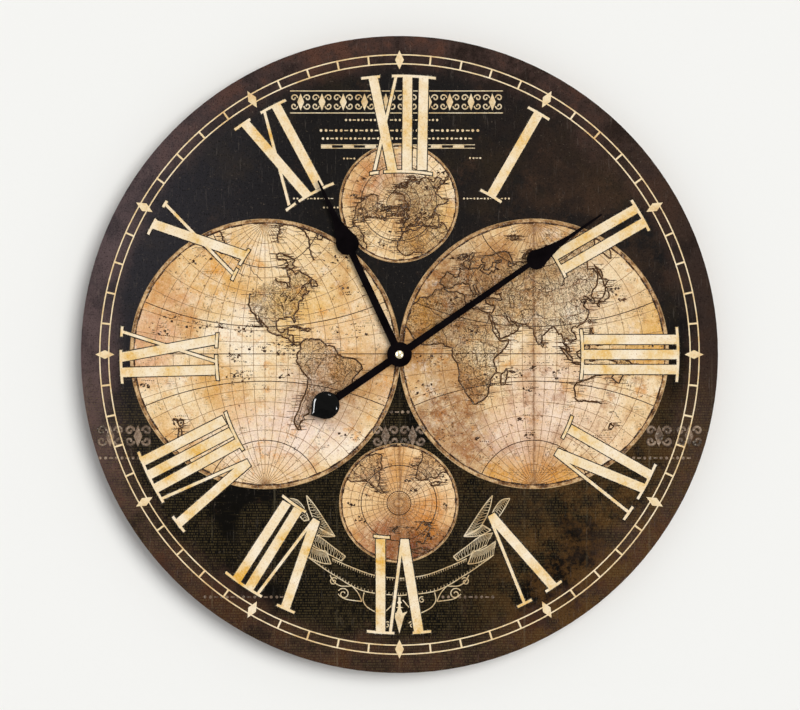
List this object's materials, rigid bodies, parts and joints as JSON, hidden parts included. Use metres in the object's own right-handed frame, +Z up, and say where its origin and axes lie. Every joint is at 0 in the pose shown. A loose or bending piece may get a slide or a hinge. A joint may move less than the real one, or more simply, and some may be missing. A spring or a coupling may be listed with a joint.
{
  "type": "world time clock",
  "caption": "Round wall clock: flat printed board with spade hands and a tail weight, quartz gear movement and a batten frame with a keyhole hanger behind.",
  "frame": {"origin": "centre of the keyhole hanger's round hole, in the plane of the wall", "axes": "+Z up, +X to the right seen from the front, +Y into the wall; the dial faces -Y"},
  "size_m": [0.5999, 0.038, 0.6],
  "materials": {
    "painted_board": "fibreboard, plain",
    "print": "printed, satin",
    "batten_wood": "planed pine",
    "zinc_steel": "zinc plated",
    "case_plastic": "moulded, satin",
    "inner_plastic": "moulded",
    "brass": "turned",
    "rubber": "plain",
    "circuit": "laminate",
    "resin": "potting resin",
    "steel": "plain",
    "copper": "enamelled wire",
    "hand_paint": "black lacquer on aluminium",
    "weight_paint": "gloss black lacquer on a light casting",
    "cell_jacket": "plain wrapped steel cell"
  },
  "bodies": {
    "clock": {"dial_board": "painted_board", "printed_face": "print", "batten_top": "batten_wood", "batten_bottom": "batten_wood", "batten_left": "batten_wood", "batten_right": "batten_wood", "hanger_plate": "zinc_steel", "hanger_screws": "zinc_steel", "movement_case": "case_plastic", "rear_cover": "case_plastic", "middle_plate": "inner_plastic", "threaded_bush": "brass", "rubber_washer": "rubber", "brass_washer": "brass", "fixing_nut": "brass", "circuit_board": "circuit", "chip": "resin", "quartz_crystal": "steel", "coil_bobbin": "inner_plastic", "coil_winding": "copper", "coil_core": "steel", "stator": "steel", "contact_positive": "zinc_steel", "contact_negative": "zinc_steel"},
    "minute": {"minute_hand": "hand_paint", "counterweight": "weight_paint", "cap_nut": "brass", "minute_tube": "brass", "clutch_spring": "steel"},
    "hour": {"hour_hand": "hand_paint", "hour_hand_collet": "brass", "hour_wheel": "inner_plastic"},
    "motion": {"motion_wheel": "inner_plastic", "setting_knob": "case_plastic"},
    "second": {"second_wheel": "inner_plastic"},
    "third": {"third_wheel": "inner_plastic"},
    "centre": {"centre_wheel": "inner_plastic"},
    "intermediate": {"intermediate_wheel": "inner_plastic"},
    "rotor": {"rotor": "inner_plastic"},
    "battery": {"battery": "cell_jacket"}
  },
  "joints": [
    {"name": "minute_turn", "type": "hinge", "parent": "clock", "child": "minute", "pos_m": [0, -0.01, -0.165], "axis": [0, 1, 0], "continuous": true},
    {"name": "hour_turn", "type": "hinge", "parent": "clock", "child": "hour", "pos_m": [0, -0.01, -0.165], "axis": [0, 1, 0], "continuous": true},
    {"name": "motion_turn", "type": "hinge", "parent": "clock", "child": "motion", "pos_m": [-0.011, -0.01, -0.165], "axis": [0, 1, 0], "continuous": true},
    {"name": "second_turn", "type": "hinge", "parent": "clock", "child": "second", "pos_m": [0, -0.01, -0.165], "axis": [0, 1, 0], "continuous": true},
    {"name": "third_turn", "type": "hinge", "parent": "clock", "child": "third", "pos_m": [0.00656, -0.01, -0.15719], "axis": [0, 1, 0], "continuous": true},
    {"name": "centre_turn", "type": "hinge", "parent": "clock", "child": "centre", "pos_m": [0, -0.01, -0.165], "axis": [0, 1, 0], "continuous": true},
    {"name": "intermediate_turn", "type": "hinge", "parent": "clock", "child": "intermediate", "pos_m": [0.0042, -0.01, -0.15773], "axis": [0, 1, 0], "continuous": true},
    {"name": "rotor_turn", "type": "hinge", "parent": "clock", "child": "rotor", "pos_m": [0.01097, -0.01, -0.15526], "axis": [0, 1, 0], "continuous": true},
    {"name": "battery_slide", "type": "slide", "parent": "clock", "child": "battery", "axis": [0, 1, 0], "range_m": [0, 0.02]}
  ],
  "couplings": [
    {"joint": "hour_turn", "follows": "minute_turn", "ratio": 0.083333},
    {"joint": "motion_turn", "follows": "minute_turn", "ratio": -0.33333},
    {"joint": "third_turn", "follows": "second_turn", "ratio": -0.13333},
    {"joint": "centre_turn", "follows": "second_turn", "ratio": 0.016667},
    {"joint": "intermediate_turn", "follows": "second_turn", "ratio": -6},
    {"joint": "rotor_turn", "follows": "second_turn", "ratio": 30}
  ]
}
